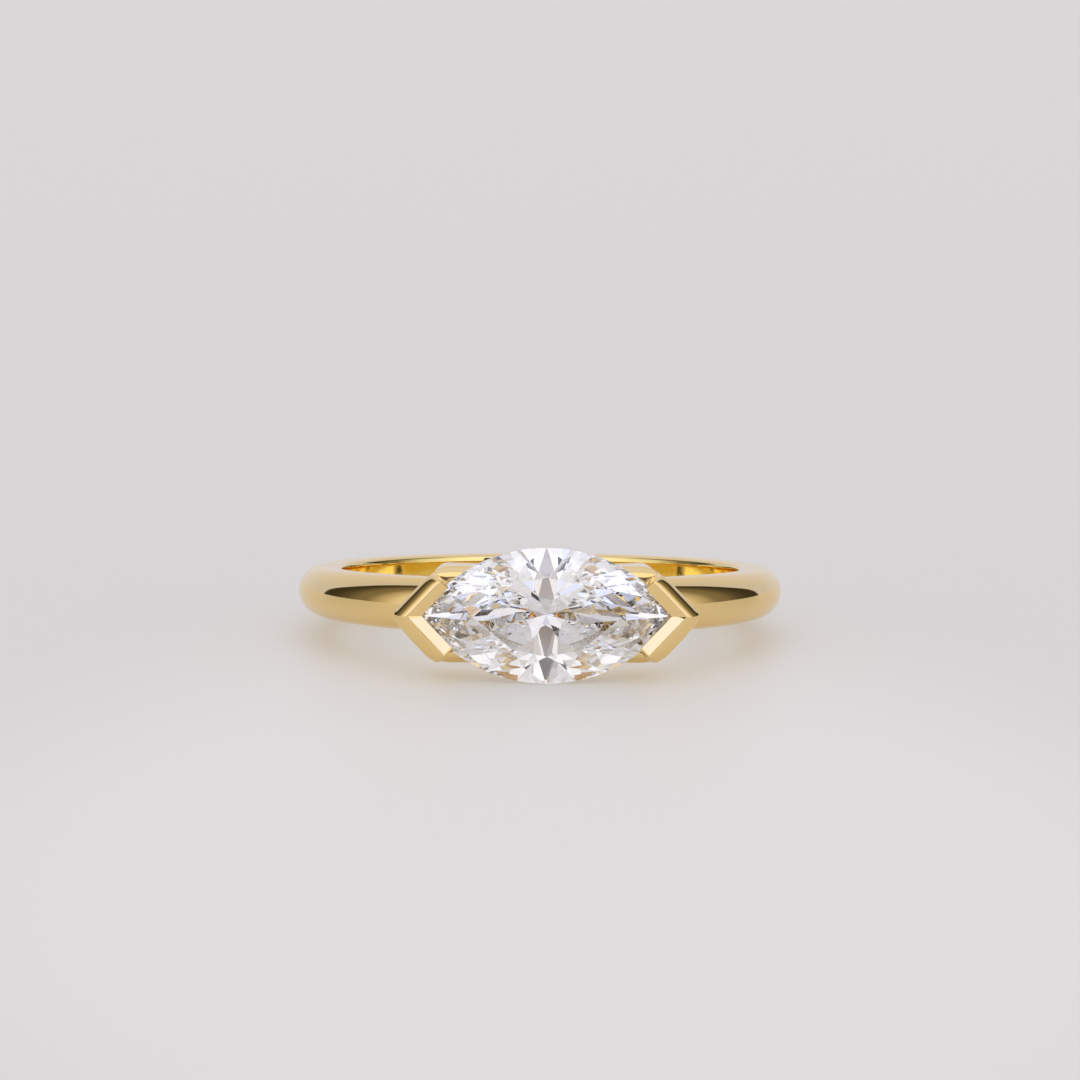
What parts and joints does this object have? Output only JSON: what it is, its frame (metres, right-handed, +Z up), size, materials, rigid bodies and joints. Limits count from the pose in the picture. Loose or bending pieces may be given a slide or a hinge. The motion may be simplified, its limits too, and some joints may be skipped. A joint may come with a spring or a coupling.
{
  "type": "marquise bezel engagement ring",
  "caption": "Finger ring with a marquise cut stone set lengthwise along a half round band and held at its tips by V shaped half bezels with open sides.",
  "frame": {"origin": "on the surface that the ring lies on, under the middle of its outline: midway between the band's two sides in X, and midway between the stone's table and the back of the band in Y", "axes": "+Z up from the surface the ring rests on; the stone faces -Y and its length runs along X; the finger goes through along Z, with the hole's axis leaning 5.4 degrees towards +Y because the stone's belly props up the front"},
  "size_m": [0.02, 0.0218, 0.0054],
  "materials": {
    "gold": "18 karat yellow gold, high polish with faint wear marks",
    "diamond": "colourless brilliant cut diamond, polished facets"
  },
  "bodies": {
    "root": {"mounting": "gold", "marquise_stone": "diamond"}
  },
  "joints": []
}
